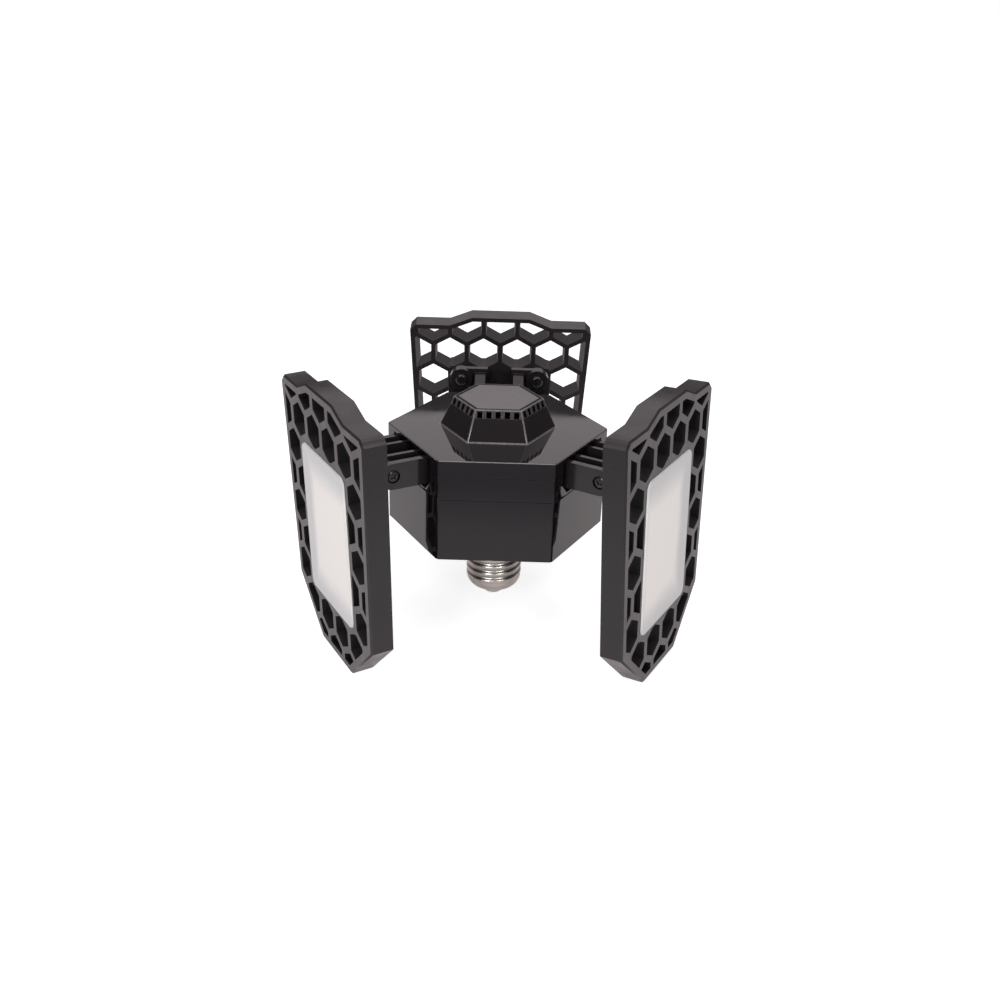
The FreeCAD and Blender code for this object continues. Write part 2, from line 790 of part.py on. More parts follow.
# --------------------------------------------------- panel: plate, lugs, screws
def hinge_lug(sign):
    """Web and boss of one lug, from the plate to the hinge axis."""
    root_x = panel_offset - plate_thickness / 2
    inner = sign * lug_inner
    outer = sign * lug_outer
    web = polygon_face([
        V(0, inner, -lug_boss_radius),
        V(root_x, inner, -lug_root),
        V(root_x, inner, lug_root),
        V(0, inner, lug_boss_radius),
    ]).extrude(V(0, outer - inner, 0))
    boss = rod(lug_boss_radius, V(0, inner, 0), V(0, outer, 0))
    return web.fuse(boss)


def hinge_plate(side):
    """Plate behind the panel with two hinge lugs and two screw bosses."""
    low = V(panel_offset - plate_thickness, -plate_half_width, plate_bottom)
    plate = block(low, V(panel_offset, plate_half_width, plate_top))
    plate = plate.makeChamfer(plate_corner, edges_along(plate, V(1, 0, 0)))
    notch_low = V(low.x - overshoot, -plate_notch_half, plate_notch_bottom)
    plate = plate.cut(block(notch_low, V(panel_offset + overshoot, plate_notch_half, plate_top + overshoot)))
    parts = [plate]
    holes = [rod(pivot_screw_radius + running_clearance, V(0, -arm_gap_outer, 0), V(0, arm_gap_outer, 0))]
    for sign in (-1, 1):
        parts.append(hinge_lug(sign))
    for place in plate_screw_places():
        face = place.x - plate_thickness
        parts.append(rod(plate_boss_radius, V(face - plate_boss_height, place.y, place.z), place))
        start = V(face - plate_boss_height - overshoot, place.y, place.z)
        end = V(place.x + overshoot, place.y, place.z)
        holes.append(rod(plate_screw_radius + running_clearance, start, end))
    return on_hinge(joined(parts).cut(holes), side)


def plate_screws(side):
    """Two screws that hold the hinge plate to the panel frame."""
    length = plate_thickness + plate_boss_height + plate_screw_bite - screw_end_gap
    screws = []
    for place in plate_screw_places():
        seat = V(place.x - plate_thickness - plate_boss_height, place.y, place.z)
        screws.append(screw(
            plate_head_radius, plate_head_height, plate_screw_radius, length, seat, V(1, 0, 0)))
    return on_hinge(Part.makeCompound(screws), side)



# ----------------------------------------------------------------------- driver
def board_post_places():
    places = []
    for k in range(3):
        angle = math.radians(120 * k + 60)
        places.append(V(board_post_circle * math.cos(angle), board_post_circle * math.sin(angle), 0))
    return places


def driver_board():
    body = hex_prism(board_radius, board_z, board_top_z)
    holes = []
    for place in board_post_places():
        clear = board_screw_radius + running_clearance
        start = V(place.x, place.y, board_z - overshoot)
        holes.append(rod(clear, start, V(place.x, place.y, board_top_z + overshoot)))
    return body.cut(holes)


def board_screws():
    length = board_thickness + board_screw_bite - screw_end_gap
    screws = []
    for place in board_post_places():
        screws.append(screw(
            board_screw_head, board_screw_rise, board_screw_radius, length, on_board(place), V(0, 0, -1)))
    return Part.makeCompound(screws)


def on_board(place):
    """A place on the driver board's upper face."""
    return V(place.x, place.y, board_top_z)


def standing_block(place, size):
    """Upright block with the middle of its foot at a place on the board."""
    low = on_board(place).sub(V(size.x / 2, size.y / 2, 0))
    return block(low, low.add(size))


def transformer():
    """Ferrite core with its winding round the middle leg."""
    low = V(-transformer_core.x / 2, -transformer_core.y / 2, board_top_z)
    yoke = transformer_core.z / 4
    core = block(low, low.add(V(transformer_core.x, transformer_core.y, yoke)))
    upper = core.copy()
    upper.translate(V(0, 0, transformer_core.z - yoke))
    winding_top = board_top_z + transformer_core.z - yoke
    middle = rod(transformer_winding_radius, V(0, 0, board_top_z + yoke), V(0, 0, winding_top))
    return joined([core, upper, middle])


def capacitors():
    """Two upright electrolytic capacitors."""
    bodies = []
    for across in (-1, 1):
        place = V(across * capacitor_place.x, capacitor_place.y, board_top_z)
        bodies.append(Part.makeCylinder(capacitor_radius, capacitor_height, place))
    return Part.makeCompound(bodies)


def choke():
    """Drum-core inductor."""
    place = on_board(choke_place)
    drum = rod(choke_radius, place, place.add(V(0, 0, choke_height)))
    waist_low = place.add(V(0, 0, choke_flange))
    waist_high = place.add(V(0, 0, choke_height - choke_flange))
    groove = rod(choke_radius + overshoot, waist_low, waist_high).cut(rod(choke_waist, waist_low, waist_high))
    return drum.cut(groove)


def rectifier():
    return standing_block(rectifier_place, rectifier_size)


def heat_sink():
    """Upright plate with fins, beside the power transistor."""
    front = transistor_place.y - transistor_size.y / 2
    low = V(-heat_sink_size.x / 2, front - heat_sink_size.y, board_top_z)
    parts = [block(low, low.add(heat_sink_size))]
    step = (heat_sink_size.x - heat_sink_size.y) / (heat_sink_fins - 1)
    for k in range(heat_sink_fins):
        corner = V(low.x + k * step, low.y - heat_sink_fin_reach, low.z)
        size = V(heat_sink_size.y, heat_sink_fin_reach, heat_sink_size.z)
        parts.append(block(corner, corner.add(size)))
    return joined(parts)


def power_transistor():
    return standing_block(transistor_place, transistor_size)


def lead_sockets():
    """Three sockets on the board, one for the leads of each panel."""
    sockets = []
    for side in SIDES.values():
        socket = standing_block(V(socket_circle, 0, 0), socket_size)
        socket.rotate(V(0, 0, 0), V(0, 0, 1), side["face_angle"])
        sockets.append(socket)
    return Part.makeCompound(sockets)


# ------------------------------------------------------------------- all pieces
def export(name, shape):
    shape.exportStep(os.path.join("parts", name + ".step"))


HUB_PIECES = {
    "screw_shell": screw_shell,
    "cap_neck": cap_neck,
    "cap_insulator": cap_insulator,
    "centre_contact": centre_contact,
    "contact_lead": contact_lead,
    "shell_lead": shell_lead,
    "lower_housing": lower_housing,
    "hinge_ring": hinge_ring,
    "top_cover": top_cover,
    "vent_cap": vent_cap,
    "housing_screws": housing_screws,
    "bracket_screws": bracket_screws,
    "pivot_screws": pivot_screws,
    "driver_board": driver_board,
    "board_screws": board_screws,
    "transformer": transformer,
    "capacitors": capacitors,
    "choke": choke,
    "rectifier": rectifier,
    "heat_sink": heat_sink,
    "power_transistor": power_transistor,
    "lead_sockets": lead_sockets,
}

SIDE_PIECES = {
    "hinge_bracket": hinge_bracket,
    "panel_frame": panel_frame,
    "hinge_plate": hinge_plate,
    "plate_screws": plate_screws,
    "led_board": led_board,
    "led_chips": led_chips,
    "diffuser": diffuser,
}


def build():
    os.makedirs("parts", exist_ok=True)
    for name, make in HUB_PIECES.items():
        export(name, make())
    for name, make in SIDE_PIECES.items():
        for side_name, side in SIDES.items():
            export(name + "_" + side_name, make(side))


build()
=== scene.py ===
# Looks of the deformable garage light: camera, studio, materials and the pieces that
# need more detail than their solids hold. Metres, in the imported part's own frame.
import json
import math

import bmesh
import bpy
from mathutils import Matrix, Vector

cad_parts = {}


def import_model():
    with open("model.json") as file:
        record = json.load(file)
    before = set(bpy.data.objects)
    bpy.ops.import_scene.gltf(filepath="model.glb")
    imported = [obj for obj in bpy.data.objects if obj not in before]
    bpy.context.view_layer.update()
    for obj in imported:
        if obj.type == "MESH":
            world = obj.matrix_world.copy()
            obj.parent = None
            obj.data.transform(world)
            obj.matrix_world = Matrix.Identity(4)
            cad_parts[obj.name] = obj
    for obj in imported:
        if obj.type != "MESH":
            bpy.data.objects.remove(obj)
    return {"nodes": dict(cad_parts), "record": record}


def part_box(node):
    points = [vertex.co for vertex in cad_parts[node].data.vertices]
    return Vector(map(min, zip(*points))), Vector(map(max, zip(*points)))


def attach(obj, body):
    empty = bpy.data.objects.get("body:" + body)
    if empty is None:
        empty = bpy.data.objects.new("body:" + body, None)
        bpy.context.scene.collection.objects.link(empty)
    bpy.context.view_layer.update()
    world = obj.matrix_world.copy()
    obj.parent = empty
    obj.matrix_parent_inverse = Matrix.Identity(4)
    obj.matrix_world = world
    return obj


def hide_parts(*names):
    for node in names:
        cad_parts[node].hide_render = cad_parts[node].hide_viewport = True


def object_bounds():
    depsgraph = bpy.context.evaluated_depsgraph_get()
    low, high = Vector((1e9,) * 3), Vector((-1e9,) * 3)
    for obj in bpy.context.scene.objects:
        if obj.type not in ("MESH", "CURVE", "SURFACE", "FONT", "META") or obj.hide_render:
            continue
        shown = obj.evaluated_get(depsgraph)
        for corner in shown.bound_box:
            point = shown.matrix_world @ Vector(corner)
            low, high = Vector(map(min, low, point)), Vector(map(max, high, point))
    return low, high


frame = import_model()
cad_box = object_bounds()
MM = 0.001

# ------------------------------------------------------------------------- sizes
# Camera of the photograph: direction to it, distance, lens and the point it looks at.
CAMERA_AZIMUTH = -0.30
CAMERA_ELEVATION = 25.02
CAMERA_ROLL = 1.83
CAMERA_DISTANCE = 512.25 * MM
CAMERA_LENS = 39.458
SENSOR = 36.0
CAMERA_TARGET = Vector((2.02, 0.0, 47.23)) * MM
CLIP_START, CLIP_END = 0.01, 200.0

# Screw cap, E26: rolled knuckle thread over a thin shell.
THREAD_CREST = 13.1 * MM
THREAD_DEPTH = 0.85 * MM
THREAD_PITCH = 25.4 / 7 * MM
THREAD_GROOVE = 12.3 * MM    # height of a groove at the front of the cap
THREAD_LOW = 8.4 * MM
THREAD_LAND = 0.6 * MM       # plain edge above the thread
THREAD_RUN_OUT = 2.4 * MM
GROOVE_SHARPNESS = 1.5       # over 1 makes the grooves narrower than the crests
SHELL_WALL = 0.35 * MM
SHELL_TOP = 27.0 * MM
BOWL_END = 3.6 * MM
BOWL_RADIUS = 7.4 * MM
BOWL_HEIGHT = 7.2 * MM
BOWL_INSIDE = (1.0, 0.75, 0.5, 0.25, 0.0)  # rows inside the bowl, as shares of its turn
CAP_SEGMENTS, BOWL_ROWS, THREAD_ROWS = 96, 30, 76
LATHE_WELD = 1e-7            # points nearer than this are one

# Neck between the cap and the hub, with its spigot and the flange inside the hub.
SPIGOT_RADIUS = 11.7 * MM
SPIGOT_END = 14.0 * MM
LEAD_BORE = 9.4 * MM
NECK_FOOT = SHELL_TOP + 0.01 * MM
NECK_COLLAR_RADIUS = 14.4 * MM
NECK_COLLAR_TOP = 30.7 * MM
NECK_TOP_RADIUS = 17.5 * MM
HUB_BOTTOM = 38.0 * MM
HUB_FLOOR = 40.4 * MM
FLANGE_RADIUS = 21.0 * MM
FLANGE_TOP = 42.4 * MM
NECK_EDGE = 0.35 * MM

# Lead from the driver board to the shell.
LEAD_RADIUS = 0.8 * MM
LEAD_BEND = 2.5 * LEAD_RADIUS
LEAD_ROUTE = ((7.0, 52.4), (7.0, 12.8), (11.9, 12.8))   # reach and height, in millimetres
LEAD_SEGMENTS, BEND_STEPS = 12, 6

# Pan-head screws with a cross recess.
CROWN = 0.55                 # height of a head's rounded part, as a share of the head's
CROWN_FLATNESS = 0.94        # share of that height at which the nearly flat middle starts
CROWN_STEPS, SCREW_SEGMENTS = 6, 28
RECESS_ARM = 0.62            # half length of the recess, as a share of the head's radius
RECESS_WIDTH = 0.17          # half width, likewise
RECESS_DEPTH = 0.55          # as a share of the head's height
RECESS_CLEAR = 1.2           # top of the cutter, as a share of the head's height
RECESS_FOOT = (0.55, 0.7)    # length and width at its bottom, as shares of those at its top
SHELL_WELD = 1e-6            # points nearer than this are one, when screws are told apart
HEAD_FLAT = 0.01 * MM        # points this near to a head's tip are its flat top

# Corners of a square, and faces of a box from its upper and then its lower corners.
SQUARE = ((-1, -1), (1, -1), (1, 1), (-1, 1))
BOX_FACES = (
    (3, 2, 1, 0), (4, 5, 6, 7), (0, 1, 5, 4), (1, 2, 6, 5), (2, 3, 7, 6), (3, 0, 4, 7),
)

# Masks of the hub. Reaches are from the axis to the middle of a side.
HEXAGON_TURN, POCKET_TURN = 30.0, 90.0  # azimuths of one side and of one pocket

# Where shade is painted, nearly black and matt: in the hinge pockets, and at the groove round the
# vent plate.
POCKET_FACE, POCKET_BACK = 43.1 * MM, 38.0 * MM
POCKET_HALF = 18.6 * MM
POCKET_TOP = 82.5 * MM
GROOVE_REACH = 16.6 * MM
VENT_PLATE_EDGE = 15.45 * MM

# Where highlights are painted: along the dome's and the hub's edges.
HUB_REACH = 43.3 * MM
DOME_FOOT = 84.6 * MM
DOME_FOOT_REACH = 22.78 * MM
DOME_TOP = 98.15 * MM
DOME_SLOPE = 0.3994          # how fast the dome narrows with height
LIP_REACH = 16.9 * MM
VENT_BAND = (94.6 * MM, 97.7 * MM)
EDGE_HIGHLIGHT = (-0.60 * MM, -0.35 * MM)    # distances past a dome edge: painted highlight starts, painted highlight full
FOOT_HIGHLIGHT = (0.38 * MM, 0.18 * MM)      # the same, from the line round the dome's foot
FOOT_HIGHLIGHT_RISE = 0.6 * MM    # how high that painted highlight reaches
UPPER_HIGHLIGHT = 0.30 * MM       # width at the hub's upper edge
LIP_HIGHLIGHT = 0.45 * MM         # width at the lip round the vent plate
BAND_HIGHLIGHT_DEPTH = 0.25 * MM  # how far behind the dome's face the vent band's painted highlight reaches
BAND_HIGHLIGHT = 0.3              # how strong the vent band's painted highlight is, where 1 is an edge
TOP_FACE_SLACK = 0.1 * MM    # how far off the top face's height still counts as on it

# Outline of a panel inside its rim, from the pivot: half widths as (width, slope) lines.
PIVOT_REACH = 58.8 * MM
PIVOT_HEIGHT = 76.4 * MM
RIM_LINES = ((43.3 * MM, 0.0368), (108.7 * MM, 1.033))
SHOULDER_TOP = 31.1 * MM
BUMP_FOOT, BUMP_HEAD, BUMP_HEIGHT = 25.5 * MM, 14.4 * MM, 4.5 * MM  # its raised top
SIDEWAYS = 0.5               # a cell wall's normal points to the front by less than this

# Panels: azimuth and tilt at rest in degrees, and the side to which a window's painted shade lies.
SIDES = {"left": 210.0, "right": 330.0, "back": 90.0}
TILTS = {"left": -1.9, "right": 2.5, "back": 9.1}
OPAL_SHADE_SIDE = {"left": 1.0, "right": -1.0, "back": 0.0}

# Widths of the rounded edges in millimetres, and angles in degrees: faces within the
# first are one face, and an edge over the second is rounded.
SOFT_EDGES = {"lower_housing": 0.3, "hinge_ring": 0.12, "top_cover": 0.3, "vent_cap": 0.06}
PANEL_EDGE = 0.3
WELD_DISTANCE = 2e-6         # metres
FLAT_ANGLE, EDGE_ANGLE = 0.6, 38

# --------------------------------------------------------------- numbers of finishes
WHITE = (1.0, 1.0, 1.0)
PLASTIC_IOR = 1.5
CLOUD_SCALE, METAL_CLOUD_SCALE = 45.0, 90.0
SMEAR_SCALE, SMEAR_DETAIL, SMEAR_STRETCH = 130.0, 6.0, (1.0, 1.0, 0.35)
GRAIN_DETAIL, LINE_DETAIL = 3.0, 5.0
RIPPLE_SCALE, RIPPLE_DETAIL = 60.0, 1.0
# Painted highlight along the hub's edges: its patchiness and its colour.
HIGHLIGHT_SCALE, HIGHLIGHT_DETAIL, HIGHLIGHT_LEAST = 900.0, 2.0, 0.55
HIGHLIGHT_COLOUR = (0.17, 0.155, 0.16)
# Painted shade in pockets, grooves and honeycomb cells: its colour, and the roughness that goes
# with it.
PAINTED_SHADE_COLOUR = (0.004, 0.003, 0.0035)
HUB_SHADE_ROUGHNESS, CELL_SHADE_ROUGHNESS = 0.5, 0.55

# Opal windows: colour of the painted light in the middle and of the painted shade towards the
# edges.
OPAL_PAINTED_LIGHT, OPAL_PAINTED_SHADE = (0.765, 0.72, 0.70), (0.52, 0.51, 0.525)
OPAL_RIM = (15.0 * MM, 22.5 * MM)       # distances from the middle: still painted light, all painted shade
OPAL_ENDS = (17.0 * MM, 2.0 * MM)       # the same, from the upper and lower end
OPAL_LEAN = 5.0 * MM                    # how far off the middle the painted light lies
OPAL_PATCH_SCALE, OPAL_PATCH = 70.0, 5.0 * MM   # cells a metre, and width of uneven edges
SATIN_SCALE, SATIN_DETAIL, SATIN_DEPTH = 2600.0, 2.0, 0.004 * MM
SATIN_ROUGHNESS = (0.30, 0.42)

# Darkest and lightest colour, roughness and its spread, cells a metre and depth in
# millimetres of the grain, and depth of the ripple where there is one.
MOULDED = {
    "cap_glass": ((0.60, 0.60, 0.59), (0.70, 0.70, 0.69), 0.25, 0.05, 300.0, 0.01),
    "hub_gloss": (
        (0.0062, 0.0046, 0.0060), (0.0085, 0.0064, 0.0080), 0.030, 0.010, 1400.0, 0.0006, 0.004,
    ),
    "vent_plate": (
        (0.122, 0.109, 0.113), (0.141, 0.127, 0.131), 0.30, 0.03, 2200.0, 0.001, 0.004,
    ),
    "black_screw": ((0.008, 0.008, 0.009), (0.02, 0.019, 0.02), 0.14, 0.05, 1800.0, 0.002),
    "circuit_board": ((0.01, 0.07, 0.03), (0.02, 0.12, 0.05), 0.35, 0.06, 900.0, 0.01),
    "ferrite": ((0.03, 0.028, 0.027), (0.06, 0.055, 0.05), 0.5, 0.1, 1200.0, 0.02),
    "capacitor_sleeve": ((0.02, 0.03, 0.06), (0.03, 0.04, 0.08), 0.25, 0.05, 700.0, 0.01),
    "component_black": ((0.02, 0.02, 0.02), (0.035, 0.035, 0.035), 0.5, 0.1, 1500.0, 0.01),
    "socket_white": ((0.66, 0.65, 0.60), (0.74, 0.73, 0.68), 0.4, 0.06, 900.0, 0.01),
    "bracket_black": ((0.010, 0.008, 0.009), (0.017, 0.013, 0.015), 0.17, 0.05, 1500.0, 0.005),
    "led_board_white": ((0.70, 0.70, 0.69), (0.80, 0.80, 0.79), 0.35, 0.05, 900.0, 0.005),
    "led_yellow": ((0.70, 0.52, 0.10), (0.80, 0.62, 0.16), 0.3, 0.05, 900.0, 0.01),
}
FRAME_BLACK = ((0.0105, 0.0080, 0.0098), (0.0160, 0.0122, 0.0148), 0.30, 0.05, 2600.0, 0.008)

# Darkest and lightest colour, roughness and its spread, and of the drawn or rolled lines
# the factors along X, Y and Z, the cells a metre and the depth in millimetres.
METAL = {
    "nickel": ((0.40, 0.38, 0.35), (0.58, 0.56, 0.52), 0.30, 0.05, (1, 1, 14), 420.0, 0.010),
    "lead_wire": ((0.72, 0.40, 0.22), (0.80, 0.50, 0.30), 0.3, 0.1, (1, 1, 1), 300.0, 0.01),
    "zinc": ((0.50, 0.50, 0.50), (0.62, 0.62, 0.64), 0.32, 0.08, (1, 1, 1), 500.0, 0.01),
    "bare_aluminium": (
        (0.60, 0.60, 0.61), (0.72, 0.72, 0.73), 0.3, 0.08, (1, 1, 0.1), 900.0, 0.01,
    ),
}

# Studio. Walls are placed by the direction to them, by its part along Y or Z.
AMBIENT = 0.45               # what lights diffuse surfaces from all round
WALL_BACK = 1.0              # tones of the studio's walls in reflections
WALL_ABOVE = 1.0
WALL_FRONT = 0.28
WALL_SIDE = 0.12
WALL_TINT = (1.0, 0.91, 0.93)
BACK_EDGE = (0.40, 0.75)     # along Y: where the back wall starts and is full
BACK_FOOT = (0.349, 0.351)   # along Z: its sharp lower edge
ABOVE_EDGE = (0.40, 0.75)
FRONT_EDGE = (-0.50, -0.80)
FLOOR_HALF = 40.0
FLOOR_COLOUR = 0.72
FLOOR_LIFT = 0.72            # added for the camera, which makes the floor white
FLOOR_GLOSS = 0.30           # added for glossy surfaces near the object
FLOOR_DARK = 0.40            # taken off the floor far in front, as glossy surfaces see it
FLOOR_TINT = (1.0, 0.78, 0.81)
TABLE_NEAR = (-0.17, -0.04)  # along Y: where the light of the near floor starts and is full
TABLE_FAR = (-0.15, -0.25)   # the same for what is taken off the floor in front

# Azimuth from the front, elevation, distance, size and power of each lamp.
LAMPS = {
    "key": (-25.0, 18.0, 1.1, 0.32, 5.6),
    "fill": (25.0, 18.0, 1.1, 0.32, 3.4),
    "top": (0.0, 72.0, 1.1, 0.9, 4.4),
}


# ------------------------------------------------------------------------- nodes
class Graph:
    """Node tree of a material or world; a value is a number, a colour or a socket."""

    def __init__(self, owner):
        owner.use_nodes = True
        self.nodes, self.links = owner.node_tree.nodes, owner.node_tree.links

    def add(self, kind):
        return self.nodes.new("ShaderNode" + kind)

    def put(self, value, socket):
        if isinstance(value, bpy.types.NodeSocket):
            self.links.new(value, socket)
        else:
            socket.default_value = value

    def calc(self, operation, *values):
        """Arithmetic on values."""
        node = self.add("Math")
        node.operation = operation
        for value, socket in zip(values, node.inputs):
            self.put(value, socket)
        return node.outputs["Value"]

    def product(self, total, *others):
        for other in others:
            total = self.calc("MULTIPLY", total, other)
        return total

    def largest(self, total, *others):
        for other in others:
            total = self.calc("MAXIMUM", total, other)
        return total

    def above(self, value, limit):
        return self.calc("GREATER_THAN", value, limit)

    def below(self, value, limit):
        return self.calc("LESS_THAN", value, limit)

    def place(self):
        """Position on the object, from its origin."""
        return self.add("TexCoord").outputs["Object"]

    def axes(self, vector):
        node = self.add("SeparateXYZ")
        self.put(vector, node.inputs["Vector"])
        return node.outputs

    def along(self, vector, direction):
        """Part of a vector along a direction."""
        node = self.add("VectorMath")
        node.operation = "DOT_PRODUCT"
        self.put(vector, node.inputs[0])
        self.put(direction, node.inputs[1])
        return node.outputs["Value"]

    def noise(self, source, scale, detail=4.0, stretch=(1.0, 1.0, 1.0)):
        """Noise with scale cells a metre; stretch multiplies that along each axis."""
        mapping = self.add("Mapping")
        texture = self.add("TexNoise")
        self.put(stretch, mapping.inputs["Scale"])
        self.put(scale, texture.inputs["Scale"])
        self.put(detail, texture.inputs["Detail"])
        self.put(source, mapping.inputs["Vector"])
        self.put(mapping.outputs["Vector"], texture.inputs["Vector"])
        return texture.outputs["Fac"]

    def ramp(self, value, low, high, start=0.3, end=0.7):
        """Value from start to end becomes a number from low to high."""
        node = self.add("MapRange")
        named = {"From Min": start, "From Max": end, "To Min": low, "To Max": high, "Value": value}
        for name, number in named.items():
            self.put(number, node.inputs[name])
        return node.outputs["Result"]

    def fade(self, value, start, end):
        """Soft step from 0 at start to 1 at end."""
        step = self.ramp(value, 0.0, 1.0, start, end)
        step.node.interpolation_type = "SMOOTHSTEP"
        return step

    def blend(self, factor, first, second):
        """Colour that goes from the first to the second as the factor goes from 0 to 1."""
        node = self.add("Mix")
        node.data_type = "RGBA"
        for colour, socket in ((first, node.inputs[6]), (second, node.inputs[7])):
            self.put((*colour, 1.0) if isinstance(colour, tuple) else colour, socket)
        self.put(factor, node.inputs[0])
        return node.outputs[2]

    def bump(self, height, distance, under=None):
        """Bumps as deep as distance, over the bumps under them if there are any."""
        node = self.add("Bump")
        self.put(1.0, node.inputs["Strength"])
        self.put(distance, node.inputs["Distance"])
        self.put(height, node.inputs["Height"])
        if under is not None:
            self.put(under, node.inputs["Normal"])
        return node.outputs["Normal"]

    def rays(self, tint):
        """Whether a ray is glossy, whether it sees plain white, and the colour of the backdrop."""
        path = self.add("LightPath").outputs
        glossy = path["Is Glossy Ray"]
        plain = self.largest(path["Is Camera Ray"], path["Is Transmission Ray"])
        return glossy, plain, self.blend(glossy, WHITE, tint)


def new_material(name):
    """Material, its graph and the inputs of its shader."""
    material = bpy.data.materials.new(name)
    graph = Graph(material)
    return material, graph, graph.nodes["Principled BSDF"].inputs


# --------------------------------------------------------------------- materials
def moulded(name, dark, light, rough, spread, grain_scale, grain_depth, ripple_depth=0.0):
    """Moulded or painted surface: cloudy tone, uneven gloss, fine grain and a slow ripple."""
    material, graph, shader = new_material(name)
    place = graph.place()
    graph.put(graph.blend(graph.noise(place, CLOUD_SCALE), dark, light), shader["Base Color"])
    smear = graph.noise(place, SMEAR_SCALE, SMEAR_DETAIL, SMEAR_STRETCH)
    graph.put(graph.ramp(smear, rough - spread, rough + spread), shader["Roughness"])
    graph.put(PLASTIC_IOR, shader["IOR"])
    normal = graph.bump(graph.noise(place, grain_scale, GRAIN_DETAIL), grain_depth * MM)
    if ripple_depth:
        ripple = graph.noise(place, RIPPLE_SCALE, RIPPLE_DETAIL)
        normal = graph.bump(ripple, ripple_depth * MM, normal)
    graph.put(normal, shader["Normal"])
    return material


def metal(name, dark, light, rough, spread, stretch, scale, depth):
    """Bare or plated metal with drawn or rolled lines along one direction."""
    material, graph, shader = new_material(name)
    place = graph.place()
    lines = graph.noise(place, scale, LINE_DETAIL, stretch)
    cloud = graph.noise(place, METAL_CLOUD_SCALE)
    graph.put(graph.blend(cloud, dark, light), shader["Base Color"])
    graph.put(graph.ramp(lines, rough - spread, rough + spread), shader["Roughness"])
    graph.put(1.0, shader["Metallic"])
    graph.put(graph.bump(lines, depth * MM), shader["Normal"])
    return material


def opal(side):
    """Satin opal sheet with painted light, warm over the LEDs behind it, and painted shade, cooler
    and dimmer, towards its edges.
    """
    material, graph, shader = new_material("opal_" + side)
    place = graph.place()
    turned = graph.add("Mapping")
    graph.put((0.0, 0.0, math.radians(90.0 - SIDES[side])), turned.inputs["Rotation"])
    graph.put(place, turned.inputs["Vector"])
    x, _, z = graph.axes(turned.outputs["Vector"])
    low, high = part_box("diffuser_" + side)
    middle = (low.z + high.z) / 2
    half = (high.z - low.z) / 2
    patches = graph.noise(place, OPAL_PATCH_SCALE, GRAIN_DETAIL)
    patchy = graph.calc("MULTIPLY_ADD", patches, OPAL_PATCH, -OPAL_PATCH / 2)
    across = graph.calc("ADD", x, patchy)
    up = graph.calc("SUBTRACT", graph.calc("ADD", z, patchy), middle)
    wide = graph.calc("ABSOLUTE", graph.calc("ADD", across, OPAL_LEAN * OPAL_SHADE_SIDE[side]))
    ends = [half - inside for inside in OPAL_ENDS]
    opal_shade = graph.largest(graph.fade(wide, *OPAL_RIM), graph.fade(graph.calc("ABSOLUTE", up), *ends))
    graph.put(graph.blend(opal_shade, OPAL_PAINTED_LIGHT, OPAL_PAINTED_SHADE), shader["Base Color"])
    satin = graph.noise(place, SATIN_SCALE, SATIN_DETAIL)
    graph.put(graph.ramp(satin, *SATIN_ROUGHNESS), shader["Roughness"])
    graph.put(PLASTIC_IOR, shader["IOR"])
    graph.put(graph.bump(satin, SATIN_DEPTH), shader["Normal"])
    return material


def folded(graph, place, faces, first):
    """Reach, distance along and height at the nearest of a number of faces round Z."""
    x, y, height = graph.axes(place)
    sector = math.tau / faces
    turn = graph.calc("ADD", graph.calc("ARCTAN2", y, x), math.tau + sector / 2 - first)
    turn = graph.calc("SUBTRACT", graph.calc("FLOORED_MODULO", turn, sector), sector / 2)
    radius = graph.calc("SQRT", graph.calc("ADD", graph.product(x, x), graph.product(y, y)))
    reach = graph.product(radius, graph.calc("COSINE", turn))
    along = graph.calc("ABSOLUTE", graph.product(radius, graph.calc("SINE", turn)))
    return reach, along, height


def hexagon(graph, place):
    """Reach, distance along and height at the nearest side of the hub."""
    return folded(graph, place, 6, math.radians(HEXAGON_TURN))


def in_pocket(graph, place):
    """Mask of the painted shade in the hinge pockets and in the groove round the vent plate."""
    reach, along, height = folded(graph, place, len(SIDES), math.radians(POCKET_TURN))
    pocket = graph.product(
        graph.below(reach, POCKET_FACE), graph.above(reach, POCKET_BACK),
        graph.below(along, POCKET_HALF), graph.below(height, POCKET_TOP),
    )
    reach, _, height = hexagon(graph, place)
    groove = graph.product(graph.below(reach, GROOVE_REACH), graph.above(height, VENT_BAND[0]))
    return graph.largest(pocket, groove)


def near_rim(graph, place):
    """Mask of the painted shade along the vent plate's edge."""
    reach, _, _ = hexagon(graph, place)
    return graph.above(reach, VENT_PLATE_EDGE)


def cell_walls(side):
    """Mask of the painted shade on one honeycomb's inner walls: they face sideways and lie inside
    the rim.
    """
    outwards, front = face_normal(side), panel_front(side)
    sideways = Vector((-outwards.y, outwards.x, 0.0))
    upwards = front.cross(sideways)
    pivot = outwards * PIVOT_REACH + Vector((0.0, 0.0, PIVOT_HEIGHT))

    def mask(graph, place):
        across = graph.calc("ABSOLUTE", graph.along(place, sideways))
        up = graph.calc("SUBTRACT", graph.along(place, upwards), pivot.dot(upwards))
        normal = graph.add("TexCoord").outputs["Normal"]
        wall = graph.below(graph.calc("ABSOLUTE", graph.along(normal, front)), SIDEWAYS)
        for width, slope in RIM_LINES:
            edge = graph.calc("ADD", graph.product(up, slope), width)
            wall = graph.product(wall, graph.below(across, edge))
        bump_rise = graph.ramp(across, 0.0, 1.0, BUMP_FOOT, BUMP_HEAD)
        top = graph.calc("ADD", graph.product(bump_rise, BUMP_HEIGHT), SHOULDER_TOP)
        return graph.product(wall, graph.below(up, top))

    return mask


